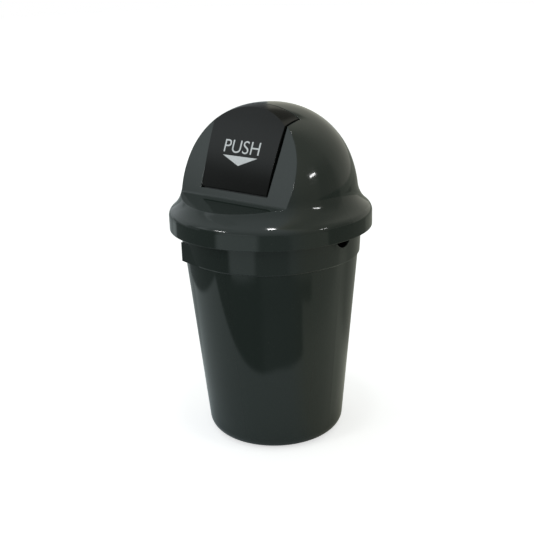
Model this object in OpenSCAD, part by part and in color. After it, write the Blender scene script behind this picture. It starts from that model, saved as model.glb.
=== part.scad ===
// Countertop bin with a lift-off dome lid and a push flap.
// Origin on the floor under the centre of the bin, +Z up, flap towards -Y.

/* [Bin] */
// height of the bin's rim above the floor
body_h = 231.5; // [226:0.5:233]
// radius of the bin at the floor, before the corner is rounded
base_r = 68.5; // [60:0.5:72]
// outward lean of the bin's wall, in mm per mm of height
body_lean = 0.0932; // [0.05:0.001:0.095]
// radius of the rounded corner at the floor
foot_r = 13; // [8:0.5:18]
// thickness of the bin's wall
body_wall = 2; // [1.6:0.1:2.4]
// thickness of the bin's floor
floor_t = 2.5; // [2:0.1:4]

/* [Band] */
// height of the lower edge of the band round the mouth
band_z = 188.6; // [180:0.2:196]
// radius of the band at its lower edge
band_r = 87.8; // [87.4:0.1:88.4]
// outward lean of the band
band_lean = 0.0574; // [0.03:0.001:0.06]
// radius of the band's rounded lower edge
band_round = 1.4; // [0.8:0.1:1.5]
// radius of the rolled rim
rim_r = 96.8; // [94:0.1:97]
// depth of the rolled rim
rim_drop = 8; // [4:0.5:10]
// half width of a finger notch in the band
notch_r = 11.5; // [7:0.5:12]
// height of the lowest point of a finger notch
notch_z = 205.5; // [200:0.5:208]
// height of the lug's upper edge
lug_top = 207.5; // [204:0.5:212]
// direction where the lug's flat face leaves the band, from the front
lug_from = 11.5; // [6:0.5:14]
// direction of the lug's square end, from the front
lug_to = 29.7; // [24:0.1:32]

/* [Lid] */
// outer radius of the lid's skirt
lid_r = 100; // [99:0.5:102]
// height of the skirt's lower edge
skirt_z = 216; // [214:0.5:219]
// height where the skirt turns into the shoulder
skirt_top = 229.2; // [228:0.2:231]
// radius of the shoulder's outer bend
bend_r = 8.2; // [6:0.2:9]
// radius of the hollow bend between shoulder and dome
hollow_r = 29.2; // [24:0.2:32]
// widest radius of the dome
dome_r = 86.6; // [84:0.2:88]
// height of the dome's widest point
dome_z = 243.8; // [242:0.2:246]
// radius of the dome's side
side_r = 106.2; // [100:0.2:112]
// where the side passes into the crown's edge, above level
side_end = 22.9; // [20:0.1:26]
// radius of the dome's upper bend
upper_r = 80.5; // [78:0.1:82]
// where the upper bend passes into the crown, above level
upper_end = 82.2; // [80:0.1:84]
// thickness of the lid
lid_wall = 2.2; // [1.8:0.1:2.6]

/* [Flat face] */
// height of the ledge in front of the flat face
ledge_z = 248.7; // [247:0.1:251]
// distance of the foot of the flat face from the centre
face_y = 56.8; // [54:0.2:60]
// how far the flat face leans back from upright
face_lean = 23.9; // [20:0.1:26]
// radius of the hollow corner between face and ledge
face_foot_r = 2.6; // [1.5:0.1:4]

/* [Flap] */
// half width of the opening at its lower edge
mouth_w = 41.9; // [38:0.1:43]
// how much the opening's half width grows upwards, in mm per mm along the face
mouth_flare = 0.05; // [0:0.005:0.05]
// distance of the opening from the foot of the face, along the face
mouth_up = 9.3; // [7:0.1:12]
// how far behind the front of the crown the opening ends
mouth_back = -7.3; // [-12:0.1:-5]
// gap round the flap
flap_gap = 1.6; // [1.2:0.1:2]
// gap behind the flap's back edge
back_gap = 1; // [0.8:0.1:1.4]
// thickness of the flap
flap_wall = 2; // [1.6:0.1:2.4]
// how far the flap's front bows out in front of the flat face
flap_bow = 2.5; // [0:0.1:2.8]
// how far the flap's stop reaches behind the lid
stop_w = 3; // [2:0.1:3.2]

/* [Hinge] */
// distance of the hinge line from the centre, towards the front
pivot_y = 12; // [11:0.1:13]
// height of the hinge line
pivot_z = 312; // [310:0.1:313]
// radius of a hinge pin
pin_r = 1.5; // [1.2:0.1:1.6]
// wire diameter of a return spring
wire_d = 0.7; // [0.5:0.05:0.8]
// radius of a spring's winding, to the middle of the wire
coil_r = 2.4; // [2.3:0.05:2.6]
// distance from one turn of a spring to the next
coil_pitch = 1.15; // [1.13:0.01:1.2]

/* [Hidden] */
lid_colour = [0.18, 0.2, 0.19];
flap_colour = [0.06, 0.06, 0.06];
steel_colour = [0.72, 0.73, 0.75];
fine = 96;
hair = 0.002;

// the bin is one moulding, held in three pieces that meet at these heights
step_h = 0.7;
base_top = foot_r + 5;
wall_top = band_z - step_h;

// small details of the rim, the lug and the ring that the lid stands on
rim_t = 2;
rim_wall = 1.8;
rim_bevel = 0.8;
fine_bevel = 0.3;
lug_sink = 1.4;
seat_r = 89.6;
seat_t = 1.8;

function dir(a) = [cos(a), sin(a)];
function wall_r(z) = base_r + body_lean * z;
function band_out(z) = band_r + band_lean * (z - band_z);
function lug_dir(a) = [-sin(a), -cos(a)];

// the lid's outline is one chain of bends that run smoothly into each other
side_c = [dome_r - side_r, dome_z];
upper_c = side_c + (side_r - upper_r) * dir(side_end);
crown_r = upper_r + upper_c[0] / cos(upper_end);
crown_c = upper_c - (crown_r - upper_r) * dir(upper_end);
bend_c = [lid_r - bend_r, skirt_top];
// the hollow bend touches both the dome's side and the shoulder's bend
span = norm(side_c - bend_c);
reach_side = side_r + hollow_r;
reach_bend = bend_r + hollow_r;
along = (reach_side * reach_side - reach_bend * reach_bend + span * span) / (2 * span);
aside = sqrt(reach_side * reach_side - along * along);
to_bend = (bend_c - side_c) / span;
hollow_c = side_c + along * to_bend + aside * [-to_bend[1], to_bend[0]];
side_start = atan2(hollow_c[1] - side_c[1], hollow_c[0] - side_c[0]);
bend_end = atan2(hollow_c[1] - bend_c[1], hollow_c[0] - bend_c[0]);
crown_top = crown_c[1] + crown_r;

// the flat face, seen from the side: up runs along it and inward runs square to it
face_foot = [-face_y, ledge_z];
face_up = dir(90 - face_lean);
face_in = dir(-face_lean);
pivot = [-pivot_y, pivot_z];
hub_in = 37.6;
hub_out = 42.8;
hub_r = 4.2;
bracket_r = 4.6;
bracket_in = 46.6;
bracket_out = 49.8;
pin_in = 32;
pin_head_r = 2.8;
pin_head_t = 1;
pin_play = 0.05;
flap_w = mouth_w - flap_gap;
flap_back = mouth_back - back_gap;
end_wall = 1.6;
end_rib = 5;
stop_t = 1.5;
stop_up = 46;
stop_lap = 0.6;
rib_up = 52;
stop_depth = lid_wall + 0.4;

// the flap's front is an arc from the opening's lower edge to a point above the crown
bow_top = 95;
bow_half = (bow_top - mouth_up) / 2;
bow_mid = mouth_up + bow_half;
bow_depth = max(flap_bow, 0.02);
bow_r = (bow_half * bow_half + bow_depth * bow_depth) / (2 * bow_depth);
bow_c = face_foot + bow_mid * face_up + (bow_r - bow_depth) * face_in;
function bow_at(up) = sqrt(bow_r * bow_r - (up - bow_mid) * (up - bow_mid)) - bow_r + bow_depth;

// a slice of a disc between two directions, used for every round bend of an outline
module bend(centre, r, from, to) {
    intersection() {
        translate(centre) circle(r = r, $fn = fine);
        polygon([centre, centre + 1.6 * r * dir(from), centre + 1.6 * r * dir(to)]);
    }
}

// half outline of the lid, drawn in by t from its outer surface; the hair makes bends that
// touch each other cross cleanly instead
module lid_outline(t, low) {
    intersection() {
        translate([0, low]) square([lid_r + 5, 140]);
        union() {
            translate(bend_c) circle(r = bend_r - t, $fn = fine);
            translate(upper_c) circle(r = upper_r - t + hair, $fn = fine);
            bend(side_c, side_r - t, -30, side_end);
            bend(crown_c, crown_r - t, upper_end, 100);
            difference() {
                polygon([[0, low - 1], [lid_r - t, low - 1], [lid_r - t, skirt_top], bend_c,
                         hollow_c, [0, side_c[1] - side_c[0] * tan(side_start)]]);
                translate(hollow_c) circle(r = hollow_r + t + hair, $fn = fine);
            }
        }
    }
}

// a solid with the same side outline across its whole width, in the Y-Z plane
module across(from, to) {
    translate([from, 0, 0])
        rotate([90, 0, 90])
            linear_extrude(height = to - from) children();
}

// the space in front of the flat face and above the ledge, moved back by t; the flap's front
// bows out into it
module face_cut(t, corner_r, bowed) {
    foot = face_foot + [t * (1 - sin(face_lean)) / cos(face_lean), -t];
    half = (90 + face_lean) / 2;
    back = corner_r / tan(half);
    c = foot + [-back, corner_r];
    on_face = foot + back * face_up;
    across(-120, 120)
        difference() {
            union() {
                polygon([[-130, foot[1]], foot - [back, 0], c, on_face, foot + 110 * face_up,
                         [-130, foot[1] + 110]]);
                translate(c) circle(r = corner_r + hair, $fn = 48);
            }
            if (bowed) translate(bow_c) circle(r = bow_r - t, $fn = 720);
        }
}

// the dome with the flat face cut off, drawn in by t
module dome_solid(t, low, corner_r, bowed = false) {
    difference() {
        rotate_extrude($fn = fine) lid_outline(t, low);
        face_cut(t, corner_r, bowed);
    }
}

// side outline of the opening, or of the flap when drawn in by the gap
module mouth_side(gap, behind) {
    sill = face_foot + (mouth_up + gap) * face_up;
    polygon([sill - 12 * face_in, sill + 16 * face_in, [behind, 285], [behind, 345],
             sill + [-40, 345 - sill[1]]]);
}

// the opening, or the flap's outline when drawn in by the gap: its sides lean apart upwards
module mouth(gap, behind) {
    down = 20;
    up = 130;
    low = mouth_w - gap - mouth_flare * (mouth_up + down);
    high = mouth_w - gap + mouth_flare * (up - mouth_up);
    intersection() {
        across(-high, high) mouth_side(gap, behind);
        translate([0, -face_y, ledge_z])
            rotate([90 - face_lean, 0, 0])
                translate([0, 0, -80])
                    linear_extrude(height = 140)
                        polygon([[-low, -down], [low, -down], [high, up], [-high, up]]);
    }
}

module bin_outline(t) {
    lean = atan(body_lean);
    r = foot_r - t;
    c = [base_r + body_lean * foot_r - foot_r / cos(lean), foot_r];
    low = t > 0 ? floor_t : 0;
    shift = t > 0 ? body_wall : 0;
    edge = band_z + shift;
    top = body_h + (t > 0 ? 5 : 0);
    bend([c[0], low + r], r, -90, -lean);
    polygon([[0, low], [c[0], low], [c[0], low + r], [c[0], low + r] + r * dir(-lean),
             [wall_r(edge) - shift, edge], [band_out(edge) - shift - band_round, edge],
             [band_out(edge + band_round) - shift, edge + band_round],
             [band_out(top) - shift, top], [0, top]]);
    if (t == 0)
        translate([band_out(edge + band_round) - band_round, edge + band_round])
            circle(r = band_round + hair, $fn = 48);
}

module bin_rim() {
    inner = band_out(body_h - rim_t) - 1;
    lip = rim_r - rim_wall;
    low = body_h - rim_drop;
    polygon([[inner, body_h - rim_t], [lip, body_h - rim_t], [lip, low], [rim_r - fine_bevel, low],
             [rim_r, low + fine_bevel], [rim_r, body_h - rim_bevel], [rim_r - rim_bevel, body_h],
             [inner, body_h]]);
}

// flat-faced lug that leaves the band smoothly and ends square
module lug() {
    middle = (lug_from + lug_to) / 2;
    start = band_r * lug_dir(lug_from);
    tip = band_r / cos(lug_to - lug_from) * lug_dir(lug_to);
    root = (band_r - lug_sink) * lug_dir(lug_to);
    inner = (band_r - lug_sink) * lug_dir(lug_from);
    low = band_z + 0.1;
    translate([0, 0, low])
        linear_extrude(height = lug_top - low)
            polygon([start, tip, root, (band_r - 1) * lug_dir(middle), inner]);
}

module notches() {
    for (side = [0, 180]) {
        rotate([0, 0, side]) {
            translate([80, 0, notch_z + notch_r])
                rotate([0, 90, 0]) cylinder(r = notch_r, h = 30, $fn = 64);
            translate([80, -notch_r, notch_z + notch_r])
                cube([30, 2 * notch_r, 40]);
        }
    }
}

// half outline of the bin's material between two heights
module bin_section(low, high) {
    intersection() {
        translate([0, low]) square([rim_r + 5, high - low]);
        difference() {
            union() {
                bin_outline(0);
                bin_rim();
            }
            bin_outline(body_wall);
        }
    }
}

module bin_base() {
    color(lid_colour) rotate_extrude($fn = fine) bin_section(0, base_top);
}

module bin_wall() {
    color(lid_colour) rotate_extrude($fn = fine) bin_section(base_top, wall_top);
}

module bin_band() {
    color(lid_colour)
    difference() {
        union() {
            rotate_extrude($fn = fine) bin_section(wall_top, body_h);
            lug();
        }
        notches();
    }
}

// hanger for one end of the hinge, from under the dome down round the pin
module bracket() {
    difference() {
        intersection() {
            across(bracket_in, bracket_out) {
                translate(pivot) circle(r = bracket_r, $fn = 48);
                translate(pivot + [-bracket_r, 0]) square([2 * bracket_r, 30]);
            }
            rotate_extrude($fn = fine) lid_outline(lid_wall / 2, skirt_z);
        }
        across(bracket_in - 1, bracket_out + 1)
            translate(pivot) circle(r = pin_r, $fn = 32);
    }
}

// ring under the shoulder that stands on the bin's rim
module seat_ring() {
    rotate_extrude($fn = fine)
        intersection() {
            translate([seat_r, body_h]) square([seat_t, 16]);
            lid_outline(lid_wall / 2, skirt_z);
        }
}

module dome_lid() {
    color(lid_colour)
    union() {
        difference() {
            dome_solid(0, skirt_z, face_foot_r);
            dome_solid(lid_wall, skirt_z - 10, face_foot_r + lid_wall);
            mouth(0, mouth_back);
        }
        bracket();
        mirror([1, 0, 0]) bracket();
        seat_ring();
    }
}

// side outline of a flap's end wall: a rib behind the face, widened round the hinge
module flap_end_side() {
    sill = face_foot + (mouth_up + flap_gap) * face_up;
    behind = sill + end_rib * face_in;
    translate(pivot) circle(r = hub_r, $fn = 48);
    polygon([sill - 4 * face_in, behind, behind + rib_up * face_up,
             pivot + [-hub_r, -1], pivot + [hub_r, -1], [flap_back, pivot_z + 6],
             [flap_back, 345], sill + 80 * face_up - 4 * face_in]);
}

module flap_end() {
    intersection() {
        across(flap_w - end_wall, flap_w) flap_end_side();
        dome_solid(0, skirt_z, face_foot_r, true);
    }
    across(hub_in, hub_out) translate(pivot) circle(r = hub_r, $fn = 48);
}

// thin rim behind the lid's wall that stops the flap from swinging out
module flap_stop() {
    sill = face_foot + (mouth_up + flap_gap) * face_up;
    low = sill + stop_depth * face_in;
    high = low + stop_up * face_up;
    edge = low - (flap_gap + stop_w) * face_up;
    root = end_wall * face_up;
    thick = stop_t * face_in;
    foot = edge + stop_lap * face_up;
    for (flip = [0, 1])
        mirror([flip, 0, 0])
            across(flap_w - end_wall - stop_lap, mouth_w + mouth_flare * stop_up + stop_w)
                polygon([foot, foot + thick, high + thick, high]);
    across(-flap_w, flap_w) {
        polygon([edge, edge + thick, low + root + thick, low + root]);
        polygon([sill, low + thick, low + thick + root, sill + root]);
    }
}

module push_flap() {
    color(flap_colour)
    difference() {
        union() {
            intersection() {
                difference() {
                    dome_solid(0, skirt_z, face_foot_r, true);
                    dome_solid(flap_wall, skirt_z - 10, face_foot_r + flap_wall, true);
                }
                mouth(flap_gap, flap_back);
            }
            flap_end();
            mirror([1, 0, 0]) flap_end();
            flap_stop();
        }
        across(-hub_out - 1, hub_out + 1) translate(pivot) circle(r = pin_r + pin_play, $fn = 32);
    }
}

// headed pin, pushed outwards through the flap's hub and into the bracket
module hinge_pin() {
    color(steel_colour)
    translate([0, pivot[0], pivot[1]])
        rotate([0, 90, 0]) {
            translate([0, 0, pin_in]) cylinder(r = pin_r, h = bracket_out - pin_in, $fn = 32);
            translate([0, 0, pin_in - pin_head_t])
                cylinder(r = pin_head_r, h = pin_head_t, $fn = 32);
        }
}

// torsion spring: a lid leg, close turns round the pin and a flap leg, one unbroken wire
lid_end = [9.65, 12.45];
face_depth = (pivot - face_foot) * face_in;
tip_up = (pivot - face_foot) * face_up - 10;
flap_tip = -(face_depth + bow_at(tip_up) - flap_wall - 0.35) * face_in - 10 * face_up;
leg_a = norm(lid_end);
leg_b = norm(flap_tip);
turn_a = atan2(lid_end[1], lid_end[0]) + acos(coil_r / leg_a);
turn_b = atan2(flap_tip[1], flap_tip[0]) - acos(coil_r / leg_b) + 1440;
coil_x = pin_in + 1.2 + wire_d / 2;
coil_steps = 26;
function coil_at(t) =
    let (a = turn_a + (turn_b - turn_a) * t)
    [coil_x + coil_pitch * (turn_b - a) / 360, coil_r * cos(a), coil_r * sin(a)];
lid_leg = [coil_at(0)[0], lid_end[0], lid_end[1]];
flap_leg = [coil_at(1)[0], flap_tip[0], flap_tip[1]];
wire_path = concat([lid_leg], [for (i = [0 : coil_steps]) coil_at(i / coil_steps)], [flap_leg]);

// least gap of the wire to itself, measured on close points from one leg's tip to the other's
close = concat([for (t = [0 : 0.1 : 0.95]) lid_leg + t * (coil_at(0) - lid_leg)],
               [for (t = [0 : 0.006 : 0.999]) coil_at(t)],
               [for (t = [0 : 0.1 : 1]) coil_at(1) + t * (flap_leg - coil_at(1))]);
apart = [for (i = [0 : len(close) - 1])
    for (j = [i + 25 : 1 : len(close) - 1]) norm(close[i] - close[j])];
echo(turns = (turn_b - turn_a) / 360, least_wire_gap = min(apart) - wire_d);

function unit(v) = v / norm(v);
function heading(p, i) = unit((i < len(p) - 1 ? p[i + 1] - p[i] : [0, 0, 0])
    / (i < len(p) - 1 ? norm(p[i + 1] - p[i]) : 1)
    + (i > 0 ? unit(p[i] - p[i - 1]) : [0, 0, 0]));

// tube along a path: each ring has one axis along X and the other square to the path
module wire(p, d) {
    sides = 6;
    n = len(p);
    rings = [for (i = [0 : n - 1])
        let (h = heading(p, i), u = unit(cross(h, [1, 0, 0])), v = cross(h, u))
        for (k = [0 : sides - 1])
            p[i] + d / 2 * (cos(360 * k / sides) * u + sin(360 * k / sides) * v)];
    polyhedron(points = rings, faces = concat(
        [[for (k = [0 : sides - 1]) k]],
        [for (i = [0 : n - 2]) for (k = [0 : sides - 1])
            let (a = i * sides + k, b = i * sides + (k + 1) % sides)
            each [[a, a + sides, b], [b, a + sides, b + sides]]],
        [[for (k = [sides - 1 : -1 : 0]) (n - 1) * sides + k]]));
}

module return_spring() {
    color(steel_colour)
    translate([0, pivot[0], pivot[1]]) wire(wire_path, wire_d);
}

bin_base();
bin_wall();
bin_band();
dome_lid();
push_flap();
mirror([1, 0, 0]) hinge_pin();  // hinge_pin_left
hinge_pin();  // hinge_pin_right
mirror([1, 0, 0]) return_spring();  // return_spring_left
return_spring();  // return_spring_right
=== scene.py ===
"""A countertop bin with a lift-off dome lid and a push flap, dressed for a plain studio picture."""
import math

import bmesh
import bpy
from mathutils import Matrix, Vector


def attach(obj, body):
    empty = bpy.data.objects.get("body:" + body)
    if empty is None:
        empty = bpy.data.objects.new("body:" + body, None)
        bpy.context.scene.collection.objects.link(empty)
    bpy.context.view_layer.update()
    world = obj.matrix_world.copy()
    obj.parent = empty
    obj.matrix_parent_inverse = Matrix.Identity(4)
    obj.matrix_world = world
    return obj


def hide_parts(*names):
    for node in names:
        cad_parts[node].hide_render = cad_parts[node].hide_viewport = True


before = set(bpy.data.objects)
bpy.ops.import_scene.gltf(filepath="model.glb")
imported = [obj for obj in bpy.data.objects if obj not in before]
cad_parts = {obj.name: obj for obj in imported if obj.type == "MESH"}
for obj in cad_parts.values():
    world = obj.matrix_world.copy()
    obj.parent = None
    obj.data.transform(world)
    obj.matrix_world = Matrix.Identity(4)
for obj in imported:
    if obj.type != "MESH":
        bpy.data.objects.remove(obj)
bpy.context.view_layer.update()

# The flat face of the dome, which the flap lies flush in. It starts at the ledge and leans back.
LEDGE_Z = 0.2487
FACE_Y = -0.0568
FACE_LEAN = math.radians(23.9)
FACE_UP = Vector((0, math.sin(FACE_LEAN), math.cos(FACE_LEAN)))
FACE_OUT = Vector((0, -math.cos(FACE_LEAN), math.sin(FACE_LEAN)))
FACE_FOOT = Vector((0, FACE_Y, LEDGE_Z))

# The hollow bend between the lid's shoulder and the dome's side is an arc about this distance out
# and height.
HOLLOW_OUT = 0.1149955
HOLLOW_Z = 0.2585382
HOLLOW_R = 0.0292
LID_WALL = 0.0022

# The real ledge meets the face a little higher than the frame's level one, and slopes down to its
# outer edge. The round in the corner between ledge and face moves with it.
LEDGE_RISE = 0.0019
LEDGE_SLOPE = 0.16
FOOT_ROUND = 0.0018
# The lid is bent between two heights, fully up to one direction from the front, and not at all past
# another.
BENT_LOW = 0.238
BENT_HIGH = 0.2552
BENT_SIDE = math.radians(49.5)
BENT_END = math.radians(62)
# A point of the mesh this near to the hollow bend lies on it, and one of these that is this near to
# the flat face lies on the edge between the two.
ON_HOLLOW = 0.0002
ON_EDGE = 0.0012

# The flap's front bows out of the flat face in an arc, furthest at its middle height.
BOW_MIDDLE = 0.05215
BOW_DEPTH = 0.0025
BOW_RADIUS = 0.36848

# The lettering on the flap: heights along the face from its foot, half widths, and how much thinner
# the letters are than their font's. Its flat drawing is cut in slices to follow the flap's bow.
WORD_LOW = 0.0459
WORD_HIGH = 0.0583
WORD_HALF = 0.0219
WORD_WEIGHT = -0.004
WORD_SPACING = 1.02
ARROW_TOP = 0.0431
ARROW_TIP = 0.0341
ARROW_HALF = 0.0216
INK = 0.00006
SLICE = 0.0015

# Heights where the bin's one moulding passes from one node into the next.
SEAMS_Z = (0.018, 0.1879)

# Where the photograph was taken from.
CAMERA_SIDE = math.radians(40.55)
CAMERA_DISTANCE = 0.85
CAMERA_HEIGHT = 0.4442
CAMERA_PITCH = math.radians(18.41)
CAMERA_HEADING = math.radians(0.367)
CAMERA_ROLL = math.radians(-1.816)
LENS_MM = 57.88
SENSOR_MM = 36

# The floor's own white, what is added to it for the camera so that the background stays white, and
# the painted reflection tone near the bin, which gloss alone sees on the floor.
FLOOR_WHITE = 0.68
FLOOR_GLOW = 0.62
PAINTED_REFLECTION_TONE = 0.74
# Painted reflections: past a line at some distance from the bin's middle, square to a direction in
# degrees from the camera's side, the gloss alone sees the floor in another painted tone, darker or
# lighter: direction, distance, softness, from and to in degrees, softness, tone.
PAINTED_REFLECTION_PARTS = (
    (150, 0.2, 0.06, 104, 400, 10, 0.4),      # painted dimmer ground behind, at the right
    (-150, 0.2, 0.06, -400, -130, 4, 0.46),   # and at the left
    (-13, 0.2, 0.008, -80, 37, 3, 0.28),      # painted dark ground past the table's front edge
    (10, 0.207, 0.01, 2, 37, 3, 0.28),        # the edge's right part, which is turned a little
    (-13, 0.2, 0.008, -80, -14, 5, 0.19),     # painted darkest ground, at the left
    (37, 0.27, 0.08, 37, 90, 3, 0.58),        # painted lighter ground at the right
    (42, 0.355, 0.01, 34, 49, 3, 0.28),       # a painted dark patch on it
    (0, 0.42, 0.03, -22, 22, 4, 0.38),        # painted ground farther in front
    (-36, 0.42, 0.03, -52, -20, 3, 0.85),     # a painted light card on the ground at the left
    (-36, 0.62, 0.04, -60, -14, 4, 1.0),      # and a painted white one behind it
    (38, 0.42, 0.03, 20, 56, 4, 0.56),        # a painted card on the ground at the right
    (-101, 0.4, 0.01, -137, -62, 1.5, 0.2),   # painted dark ground far at the left
    (-131, 0.75, 0.05, -137, -126, 2, 0.74),  # which is light at its far end
    (90, 0.6, 0.02, 62, 126, 1.5, 0.26),      # painted dark ground far at the right
    (108, 2.6, 0.2, 99, 150, 3, 0.5),         # which ends before the wall
)

# The room, as the gloss shows it. White and dark cards and walls: from and to in degrees from the
# camera's side towards the right, softness, from and to above level, softness, and how light each
# is. Later ones cover earlier ones.
ROOM_LIGHT = 0.58
CARDS = (
    (-400, 400, 1, 40, 400, 22, 0.84),        # the ceiling
    (42, 112, 26, -90, 90, 1, 0.48),          # the dimmer right side
    (-66, 104, 5, -90, 12, 14, 0.4),          # the room in front
    (-165, -106, 4, 9, 46, 4, 0.74),          # a light wall on the left
    (-138, -106, 3, -90, 7, 4, 0.3),          # a low dark screen in front of it
    (-106, -85, 3, -90, 20, 4, 0.34),         # a taller one beside that
    (-85, -62, 2, -90, 19.5, 2, 0.16),        # and a darker one towards the front
    (-56, -18, 9, -30, 14, 8, 0.85),          # a white wall at the front
    (66, 97, 5, -90, 26, 12, 0.32),           # a dark screen on the right
    (-95, -79, 3, 21, 44, 3, 1.15),           # a bright panel on the left
    (-92, -60, 4, 32, 62, 2.5, 0.72),         # which is dimmer above
    (150, 400, 5, 37, 66, 5, 0.2),            # a dark beam overhead, at the back on the right
    (-400, -164, 5, 2, 66, 4, 0.22),          # and what carries it, at the back on the left
)

# Light from the left and front is a little blue, and from the right a little yellow. It turns from
# one to the other at an angle to the camera's right, over a soft width.
LEFT_TINT = (0.92, 1.0, 1.03)
RIGHT_TINT = (1.0, 1.0, 0.87)
TINT_TURN = 30
TINT_SOFT = 16

# Three tubes of light, which give the small bright dashes: where each hangs to the side and above
# level, its width, its power and how far it is turned.
TUBES = (
    ("tube_above", 42, 80, 0.2, 4.0, 0),
    ("tube_left", -20, 29, 0.5, 5.0, 0),
    ("tube_side", 100.5, 21, 0.36, 2.8, 9),
)
TUBE_THICK = 0.09
TUBE_DISTANCE = 2.4
TUBE_AIM = Vector((0, 0, 0.2))

# Each plastic's colour in the clear and where it is clouded.
SHELL_CLEAR = (0.0125, 0.0185, 0.0155)
SHELL_CLOUDED = (0.0145, 0.0215, 0.0175)
FLAP_CLEAR = (0.0066, 0.0068, 0.006)
FLAP_CLOUDED = (0.008, 0.0082, 0.0073)
# A speck of dust, how much of its colour shows, and how far scuffs and clouds roughen the plastic.
DUST = (0.09, 0.088, 0.08)
DUST_SHARE = 0.25
SCUFF_WEAR = 0.6
CLOUD_WEAR = 0.35
# Steel between and on its drawing marks, and ink where it is thin and full.
STEEL_DARK = (0.5, 0.51, 0.53)
STEEL_LIGHT = (0.66, 0.66, 0.67)
INK_THIN = (0.52, 0.54, 0.55)
INK_WHITE = (0.86, 0.87, 0.87)


def on_flap(across, up, out=0.0):
    """A point of the flap's bowed front, from the foot of the flat face."""
    bow = math.sqrt(BOW_RADIUS ** 2 - (up - BOW_MIDDLE) ** 2) - BOW_RADIUS + BOW_DEPTH
    return FACE_FOOT + Vector((across, 0, 0)) + up * FACE_UP + (bow + out) * FACE_OUT


def toward(side, rise):
    """A direction: side in degrees from the front towards the right, rise above level."""
    a, e = math.radians(side), math.radians(rise)
    return Vector((math.sin(a) * math.cos(e), -math.cos(a) * math.cos(e), math.sin(e)))


# ---- shader helpers ----

def new_material(name):
    material = bpy.data.materials.new(name)
    material.use_nodes = True
    nodes = material.node_tree.nodes
    return material, nodes, material.node_tree.links, nodes["Principled BSDF"]


def math_node(nodes, links, operation, a, b=None, clamp=False):
    node = nodes.new("ShaderNodeMath")
    node.operation = operation
    node.use_clamp = clamp
    for socket, value in zip(node.inputs, (a, b)):
        if value is None:
            continue
        if hasattr(value, "links"):
            links.new(value, socket)
        else:
            socket.default_value = value
    return node.outputs[0]


def dot(nodes, links, vector, direction):
    node = nodes.new("ShaderNodeVectorMath")
    node.operation = "DOT_PRODUCT"
    links.new(vector, node.inputs[0])
    node.inputs[1].default_value = direction
    return node.outputs["Value"]


def mixed(nodes, links, amount, a, b):
    """A number between a and b."""
    node = nodes.new("ShaderNodeMix")
    links.new(amount, node.inputs["Factor"])
    for name, value in (("A", a), ("B", b)):
        if hasattr(value, "links"):
            links.new(value, node.inputs[name])
        else:
            node.inputs[name].default_value = value
    return node.outputs["Result"]


def mixed_colour(nodes, links, amount, a, b):
    """A colour between a and b."""
    node = nodes.new("ShaderNodeMix")
    node.data_type = "RGBA"
    links.new(amount, node.inputs["Factor"])
    for name, value in (("A", a), ("B", b)):
        if hasattr(value, "links"):
            links.new(value, node.inputs[name])
        else:
            node.inputs[name].default_value = (*value, 1)
    return node.outputs["Result"]


def side_angle(nodes, links, vector):
    """Direction of a vector in degrees, from the camera's side towards the right."""
    camera_side = math.degrees(CAMERA_SIDE)
    angle = math_node(nodes, links, "ARCTAN2",
                      dot(nodes, links, vector, toward(camera_side + 90, 0)),
                      dot(nodes, links, vector, toward(camera_side, 0)))
    return math_node(nodes, links, "MULTIPLY", angle, math.degrees(1))


def window(nodes, links, value, low, high, soft):
    """1 where value lies between low and high, with soft edges."""
    sides = []
    for start, end in ((low - soft, low + soft), (high + soft, high - soft)):
        ramp = nodes.new("ShaderNodeMapRange")
        ramp.interpolation_type = "SMOOTHSTEP"
        links.new(value, ramp.inputs["Value"])
        ramp.inputs["From Min"].default_value = start
        ramp.inputs["From Max"].default_value = end
        sides.append(ramp.outputs["Result"])
    return math_node(nodes, links, "MULTIPLY", *sides)


def tint(nodes, links, side):
    """The colour of the light from a side."""
    right = window(nodes, links, side, TINT_TURN, 400, TINT_SOFT)
    return mixed_colour(nodes, links, right, LEFT_TINT, RIGHT_TINT)


def moulded_skin_group():
    """Moulded plastic: a fine orange peel, slow waves, faint scuffs and dust."""
    group = bpy.data.node_groups.new("moulded_skin", "ShaderNodeTree")
    for name, value in (("Peel size", 700.0), ("Wave size", 22.0), ("Scuff size", 260.0),
                        ("Dust size", 900.0)):
        socket = group.interface.new_socket(name, in_out="INPUT", socket_type="NodeSocketFloat")
        socket.default_value = value
    for name in ("Peel", "Wave", "Scuffs", "Dust", "Clouds"):
        group.interface.new_socket(name, in_out="OUTPUT", socket_type="NodeSocketFloat")
    nodes, links = group.nodes, group.links
    given = nodes.new("NodeGroupInput")
    result = nodes.new("NodeGroupOutput")
    place = nodes.new("ShaderNodeTexCoord").outputs["Object"]

    def noise(size, detail, roughness, stretch=None):
        texture = nodes.new("ShaderNodeTexNoise")
        texture.inputs["Detail"].default_value = detail
        texture.inputs["Roughness"].default_value = roughness
        if hasattr(size, "links"):
            links.new(size, texture.inputs["Scale"])
        else:
            texture.inputs["Scale"].default_value = size
        source = place
        if stretch:
            mapping = nodes.new("ShaderNodeMapping")
            mapping.inputs["Scale"].default_value = stretch
            mapping.inputs["Rotation"].default_value = (0.35, 0.2, 0.6)
            links.new(place, mapping.inputs["Vector"])
            source = mapping.outputs["Vector"]
        links.new(source, texture.inputs["Vector"])
        return texture.outputs["Fac"]

    links.new(noise(given.outputs["Peel size"], 2.0, 0.5), result.inputs["Peel"])
    links.new(noise(given.outputs["Wave size"], 1.0, 0.4), result.inputs["Wave"])
    links.new(noise(9.0, 3.0, 0.6), result.inputs["Clouds"])
    scuffs = noise(given.outputs["Scuff size"], 3.0, 0.65, (1.0, 0.12, 1.0))
    links.new(window(nodes, links, scuffs, 0.62, 1.2, 0.05), result.inputs["Scuffs"])
    specks = noise(given.outputs["Dust size"], 1.0, 0.5)
    links.new(window(nodes, links, specks, 0.745, 1.2, 0.03), result.inputs["Dust"])
    return group


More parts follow.
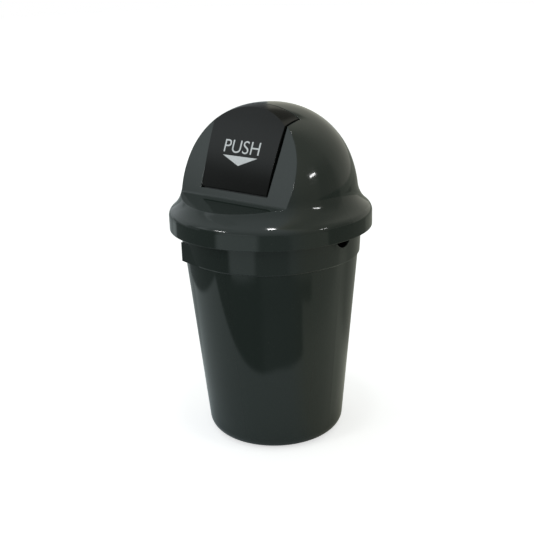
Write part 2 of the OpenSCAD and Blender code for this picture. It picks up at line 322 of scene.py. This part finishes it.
def edge_light_normal(nodes, links, radius, height, strength, distance):
    """A bumped normal over edges that are rounded by radius. Where the bin's moulding passes from
    one node into the next there is no edge, and none is rounded."""
    soft_edge = nodes.new("ShaderNodeBevel")
    soft_edge.samples = 6
    soft_edge.inputs["Radius"].default_value = radius
    level = nodes.new("ShaderNodeSeparateXYZ")
    links.new(nodes.new("ShaderNodeTexCoord").outputs["Object"], level.inputs[0])
    seams = [window(nodes, links, level.outputs["Z"], z - 2 * radius, z + 2 * radius, radius / 9)
             for z in SEAMS_Z]
    plain = nodes.new("ShaderNodeMix")
    plain.data_type = "VECTOR"
    links.new(math_node(nodes, links, "ADD", *seams, True), plain.inputs["Factor"])
    links.new(soft_edge.outputs["Normal"], plain.inputs["A"])
    links.new(nodes.new("ShaderNodeNewGeometry").outputs["Normal"], plain.inputs["B"])
    bump = nodes.new("ShaderNodeBump")
    bump.inputs["Strength"].default_value = strength
    bump.inputs["Distance"].default_value = distance
    links.new(height, bump.inputs["Height"])
    links.new(plain.outputs["Result"], bump.inputs["Normal"])
    return bump.outputs["Normal"]


def plastic(name, skin, clear, clouded, rough, scuffed_rough, peel, wave, edge, ior):
    """Moulded plastic. clear and clouded are its colours, edge the radius of its soft edges."""
    material, nodes, links, shader = new_material(name)
    skin_node = nodes.new("ShaderNodeGroup")
    skin_node.node_tree = skin
    out = skin_node.outputs
    colour = mixed_colour(nodes, links, out["Clouds"], clear, clouded)
    dusted = mixed_colour(nodes, links, math_node(nodes, links, "MULTIPLY", out["Dust"],
                                                  DUST_SHARE), colour, DUST)
    links.new(dusted, shader.inputs["Base Color"])
    roughness = nodes.new("ShaderNodeMapRange")
    roughness.inputs["To Min"].default_value = rough
    roughness.inputs["To Max"].default_value = scuffed_rough
    wear = math_node(nodes, links, "ADD",
                     math_node(nodes, links, "MULTIPLY", out["Scuffs"], SCUFF_WEAR),
                     math_node(nodes, links, "MULTIPLY", out["Clouds"], CLOUD_WEAR), True)
    links.new(wear, roughness.inputs["Value"])
    links.new(roughness.outputs["Result"], shader.inputs["Roughness"])
    height = math_node(nodes, links, "ADD",
                       math_node(nodes, links, "MULTIPLY", out["Peel"], peel),
                       math_node(nodes, links, "MULTIPLY", out["Wave"], wave))
    links.new(edge_light_normal(nodes, links, edge, height, 1.0, 1.0), shader.inputs["Normal"])
    shader.inputs["IOR"].default_value = ior
    return material


def drawn_steel(name):
    """Bright steel wire and pins, with fine marks along their length."""
    material, nodes, links, shader = new_material(name)
    place = nodes.new("ShaderNodeTexCoord").outputs["Object"]
    mapping = nodes.new("ShaderNodeMapping")
    mapping.inputs["Scale"].default_value = (0.08, 1, 1)
    links.new(place, mapping.inputs["Vector"])
    marks = nodes.new("ShaderNodeTexNoise")
    marks.inputs["Scale"].default_value = 5200.0
    marks.inputs["Detail"].default_value = 3.0
    links.new(mapping.outputs["Vector"], marks.inputs["Vector"])
    links.new(mixed_colour(nodes, links, marks.outputs["Fac"], STEEL_DARK, STEEL_LIGHT),
              shader.inputs["Base Color"])
    roughness = nodes.new("ShaderNodeMapRange")
    roughness.inputs["To Min"].default_value = 0.2
    roughness.inputs["To Max"].default_value = 0.42
    links.new(marks.outputs["Fac"], roughness.inputs["Value"])
    links.new(roughness.outputs["Result"], shader.inputs["Roughness"])
    shader.inputs["Metallic"].default_value = 1.0
    bump = nodes.new("ShaderNodeBump")
    bump.inputs["Distance"].default_value = 0.00002
    bump.inputs["Strength"].default_value = 0.5
    links.new(marks.outputs["Fac"], bump.inputs["Height"])
    links.new(bump.outputs["Normal"], shader.inputs["Normal"])
    return material


def printed_ink(name):
    """White ink, a little thin and grey in places."""
    material, nodes, links, shader = new_material(name)
    place = nodes.new("ShaderNodeTexCoord").outputs["Object"]
    grain = nodes.new("ShaderNodeTexNoise")
    grain.inputs["Scale"].default_value = 900.0
    grain.inputs["Detail"].default_value = 3.0
    links.new(place, grain.inputs["Vector"])
    links.new(mixed_colour(nodes, links, grain.outputs["Fac"], INK_THIN, INK_WHITE),
              shader.inputs["Base Color"])
    shader.inputs["Roughness"].default_value = 0.5
    return material


# ---- pieces ----

def finish_node(node, material):
    """Gives a node of the frame its one material."""
    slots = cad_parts[node].data.materials
    slots.clear()
    slots.append(material)


def piece_from(build, name, material, body):
    """A new piece from a bmesh, with its place in its mesh."""
    bm = bmesh.new()
    build(bm)
    bmesh.ops.recalc_face_normals(bm, faces=bm.faces)
    mesh = bpy.data.meshes.new(name)
    bm.to_mesh(mesh)
    bm.free()
    piece = bpy.data.objects.new(name, mesh)
    bpy.context.scene.collection.objects.link(piece)
    mesh.materials.append(material)
    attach(piece, body)
    return piece


def hollow_radius(z, wall):
    """Radius of the lid's hollow bend at a height, at its outside or drawn in by a wall."""
    return HOLLOW_OUT - math.sqrt((HOLLOW_R + wall) ** 2 - (z - HOLLOW_Z) ** 2)


def ledge_height(y):
    """Height of the sloped ledge at y."""
    return LEDGE_Z + LEDGE_RISE - LEDGE_SLOPE * (FACE_Y - y)


def edge_lift(side):
    """How much higher the ledge's outer edge lies, in a direction from the front. The slope and the
    hollow bend meet there, at a height that is stepped towards."""
    z = LEDGE_Z
    for _ in range(6):
        z = ledge_height(-hollow_radius(z, 0) * math.cos(min(side, BENT_SIDE)))
    fade = min(max((BENT_END - side) / (BENT_END - BENT_SIDE), 0), 1)
    return (z - LEDGE_Z) * fade * fade * (3 - 2 * fade)


def bent_with_ledge(point):
    """Where a point of the frame's lid goes when the ledge slopes. A point on the hollow bend
    slides along it, one on the flat face stays on it, and the rest move straight up."""
    out = math.hypot(point.x, point.y)
    side = math.atan2(abs(point.x), -point.y)
    if not (BENT_LOW < point.z < BENT_HIGH and side < BENT_END):
        return point
    gap, wall = min((abs(out - hollow_radius(point.z, w)), w) for w in (0, LID_WALL))
    z = point.z + wall
    lift = edge_lift(side) if gap < ON_HOLLOW else ledge_height(min(point.y, FACE_Y)) - LEDGE_Z
    if z < LEDGE_Z:
        lift *= (z - BENT_LOW) / (LEDGE_Z - BENT_LOW)
    else:
        lift *= max((BENT_HIGH - z) / (BENT_HIGH - LEDGE_Z), 0)
    # The inside of the face starts farther back than its outside, by the wall between them.
    inside = wall * (1 - math.sin(FACE_LEAN)) / math.cos(FACE_LEAN)
    on_face = min(max((point.y - inside - FACE_Y + FOOT_ROUND) / FOOT_ROUND, 0), 1)
    y = point.y + lift * math.tan(FACE_LEAN) * on_face
    if gap >= ON_HOLLOW:
        return Vector((point.x, y, point.z + lift))
    radius = hollow_radius(point.z + lift, wall)
    in_front = (point - FACE_FOOT).dot(FACE_OUT) + wall
    if abs(in_front) < ON_EDGE:
        return Vector((math.copysign(math.sqrt(radius ** 2 - y ** 2), point.x), y, point.z + lift))
    return Vector((point.x * radius / out, point.y * radius / out, point.z + lift))


def lid_shell(material):
    """The frame's lid with its ledge sloped. Each corner's normal turns with its face."""
    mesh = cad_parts["dome_lid"].data.copy()
    mesh.name = "lid_shell"
    normals = [corner.vector.copy() for corner in mesh.corner_normals]
    faces = [polygon.normal.copy() for polygon in mesh.polygons]
    for vertex in mesh.vertices:
        vertex.co = bent_with_ledge(vertex.co)
    mesh.update()
    for polygon, old in zip(mesh.polygons, faces):
        turn = old.rotation_difference(polygon.normal)
        for corner in polygon.loop_indices:
            normals[corner] = turn @ normals[corner]
    mesh.normals_split_custom_set(normals)
    mesh.materials.clear()
    mesh.materials.append(material)
    lid = bpy.data.objects.new("lid_shell", mesh)
    bpy.context.scene.collection.objects.link(lid)
    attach(lid, "lid")
    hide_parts("dome_lid")


def bend_onto_flap(bm):
    """Lays a flat drawing, X across, Y up along the face and Z its thickness, on the bowed flap."""
    low = min(v.co.y for v in bm.verts)
    high = max(v.co.y for v in bm.verts)
    for i in range(1, math.ceil((high - low) / SLICE)):
        whole = bm.verts[:] + bm.edges[:] + bm.faces[:]
        bmesh.ops.bisect_plane(bm, geom=whole, plane_co=(0, low + i * SLICE, 0),
                               plane_no=(0, 1, 0))
    for v in bm.verts:
        v.co = on_flap(*v.co)


def word_mesh(bm):
    """The word PUSH in plain letters, fitted to the width and height that it takes on the flap."""
    text = bpy.data.curves.new("push_word_curve", "FONT")
    text.body = "PUSH"
    text.space_character = WORD_SPACING
    text.extrude = INK / 2
    text.offset = WORD_WEIGHT
    holder = bpy.data.objects.new("push_word_curve", text)
    bpy.context.scene.collection.objects.link(holder)
    bpy.context.view_layer.update()
    drawn = bpy.data.meshes.new_from_object(holder)
    bpy.data.objects.remove(holder)
    bm.from_mesh(drawn)
    bpy.data.meshes.remove(drawn)
    xs = [v.co.x for v in bm.verts]
    ys = [v.co.y for v in bm.verts]
    wide = 2 * WORD_HALF / (max(xs) - min(xs))
    tall = (WORD_HIGH - WORD_LOW) / (max(ys) - min(ys))
    for v in bm.verts:
        v.co = (-WORD_HALF + (v.co.x - min(xs)) * wide, WORD_LOW + (v.co.y - min(ys)) * tall,
                v.co.z + INK / 2)
    bend_onto_flap(bm)


def arrow_mesh(bm):
    """A triangle that points down, under the word."""
    corners = ((-ARROW_HALF, ARROW_TOP), (0, ARROW_TIP), (ARROW_HALF, ARROW_TOP))
    face = bm.faces.new([bm.verts.new((x, y, 0)) for x, y in corners])
    grown = bmesh.ops.extrude_face_region(bm, geom=[face])
    top = [v for v in grown["geom"] if isinstance(v, bmesh.types.BMVert)]
    bmesh.ops.translate(bm, verts=top, vec=(0, 0, INK))
    bend_onto_flap(bm)


# ---- studio ----

def studio_camera():
    camera = bpy.data.objects.new("studio_camera", bpy.data.cameras.new("studio_camera"))
    bpy.context.scene.collection.objects.link(camera)
    place = CAMERA_DISTANCE * toward(math.degrees(CAMERA_SIDE), 0)
    place.z = CAMERA_HEIGHT
    turn = (Matrix.Rotation(CAMERA_SIDE + CAMERA_HEADING, 4, "Z")
            @ Matrix.Rotation(math.pi / 2 - CAMERA_PITCH, 4, "X")
            @ Matrix.Rotation(CAMERA_ROLL, 4, "Z"))
    camera.matrix_world = Matrix.Translation(place) @ turn
    camera.data.lens = LENS_MM
    camera.data.sensor_width = SENSOR_MM
    camera.data.clip_end = 50
    bpy.context.scene.camera = camera


def studio_floor():
    """A white floor that stays white for the camera under a soft shadow. Gloss alone sees painted
    reflection tones on it, darker and lighter by place."""
    mesh = bpy.data.meshes.new("studio_floor")
    bm = bmesh.new()
    bmesh.ops.create_grid(bm, x_segments=1, y_segments=1, size=12)
    bm.to_mesh(mesh)
    bm.free()
    floor = bpy.data.objects.new("studio_floor", mesh)
    bpy.context.scene.collection.objects.link(floor)
    material, nodes, links, shader = new_material("floor_white")
    seen = nodes.new("ShaderNodeLightPath").outputs
    place = nodes.new("ShaderNodeTexCoord").outputs["Object"]
    camera_side = math.degrees(CAMERA_SIDE)
    side = side_angle(nodes, links, place)
    # The painted reflection tone, which only glossy rays see, set part by part.
    tone = PAINTED_REFLECTION_TONE
    for way, distance, soft, low, high, soft_side, value in PAINTED_REFLECTION_PARTS:
        past = window(nodes, links, dot(nodes, links, place, toward(camera_side + way, 0)),
                      distance, 50, soft)
        part = math_node(nodes, links, "MULTIPLY", past,
                         window(nodes, links, side, low, high, soft_side))
        tone = mixed(nodes, links, part, tone, value)
    toned = nodes.new("ShaderNodeVectorMath")
    toned.operation = "SCALE"
    links.new(tint(nodes, links, side), toned.inputs[0])
    links.new(tone, toned.inputs["Scale"])
    # Glossy rays see the painted reflection tone, all other rays the plain white.
    links.new(mixed_colour(nodes, links, seen["Is Glossy Ray"], (FLOOR_WHITE,) * 3,
                           toned.outputs["Vector"]), shader.inputs["Base Color"])
    shader.inputs["Roughness"].default_value = 0.9
    shader.inputs["Specular IOR Level"].default_value = 0.1
    glow = nodes.new("ShaderNodeEmission")
    links.new(math_node(nodes, links, "MULTIPLY", seen["Is Camera Ray"], FLOOR_GLOW),
              glow.inputs["Strength"])
    both = nodes.new("ShaderNodeAddShader")
    links.new(shader.outputs["BSDF"], both.inputs[0])
    links.new(glow.outputs["Emission"], both.inputs[1])
    links.new(both.outputs["Shader"], nodes["Material Output"].inputs["Surface"])
    mesh.materials.append(material)


def studio_world():
    """White where the camera looks. Light and gloss see a bright upper room with a few cards."""
    world = bpy.data.worlds.new("studio_world")
    bpy.context.scene.world = world
    world.use_nodes = True
    nodes, links = world.node_tree.nodes, world.node_tree.links
    way = nodes.new("ShaderNodeTexCoord").outputs["Generated"]
    side = side_angle(nodes, links, way)
    rise = math_node(nodes, links, "ARCSINE", dot(nodes, links, way, Vector((0, 0, 1))))
    rise = math_node(nodes, links, "MULTIPLY", rise, math.degrees(1))
    light = ROOM_LIGHT
    for low, high, soft_side, down, up, soft_rise, value in CARDS:
        card = math_node(nodes, links, "MULTIPLY",
                         window(nodes, links, side, low, high, soft_side),
                         window(nodes, links, rise, down, up, soft_rise))
        light = mixed(nodes, links, card, light, value)
    room = nodes["Background"]
    links.new(tint(nodes, links, side), room.inputs["Color"])
    links.new(light, room.inputs["Strength"])
    backdrop = nodes.new("ShaderNodeBackground")
    backdrop.inputs["Color"].default_value = (1, 1, 1, 1)
    mix = nodes.new("ShaderNodeMixShader")
    links.new(nodes.new("ShaderNodeLightPath").outputs["Is Camera Ray"], mix.inputs["Fac"])
    links.new(room.outputs["Background"], mix.inputs[1])
    links.new(backdrop.outputs["Background"], mix.inputs[2])
    links.new(mix.outputs["Shader"], nodes["World Output"].inputs["Surface"])


def light_tube(name, side, rise, wide, power, turn):
    """A tube of light that faces the bin. Its place and its turn are in degrees."""
    lamp = bpy.data.lights.new(name, "AREA")
    lamp.shape = "RECTANGLE"
    lamp.size = wide
    lamp.size_y = TUBE_THICK
    lamp.energy = power
    holder = bpy.data.objects.new(name, lamp)
    bpy.context.scene.collection.objects.link(holder)
    way = toward(side, rise)
    face = way.to_track_quat("Z", "Y").to_matrix().to_4x4()
    holder.matrix_world = (Matrix.Translation(TUBE_AIM + TUBE_DISTANCE * way) @ face
                           @ Matrix.Rotation(math.radians(turn), 4, "Z"))


skin = moulded_skin_group()
shell = plastic("shell_plastic", skin, SHELL_CLEAR, SHELL_CLOUDED, rough=0.06, scuffed_rough=0.15,
                peel=0.0000006, wave=0.00006, edge=0.0008, ior=1.5)
flap = plastic("flap_plastic", skin, FLAP_CLEAR, FLAP_CLOUDED, rough=0.15, scuffed_rough=0.2,
               peel=0.000002, wave=0.00002, edge=0.0004, ior=1.34)
steel = drawn_steel("drawn_steel")
ink = printed_ink("printed_ink")

for node in ("bin_base", "bin_wall", "bin_band", "dome_lid"):
    finish_node(node, shell)
finish_node("push_flap", flap)
for side in ("left", "right"):
    finish_node("hinge_pin_" + side, steel)
    finish_node("return_spring_" + side, steel)

lid_shell(shell)
piece_from(word_mesh, "push_word", ink, "flap")
piece_from(arrow_mesh, "push_arrow", ink, "flap")

studio_camera()
studio_floor()
studio_world()
for tube in TUBES:
    light_tube(*tube)
bpy.context.scene.view_settings.view_transform = "Standard"
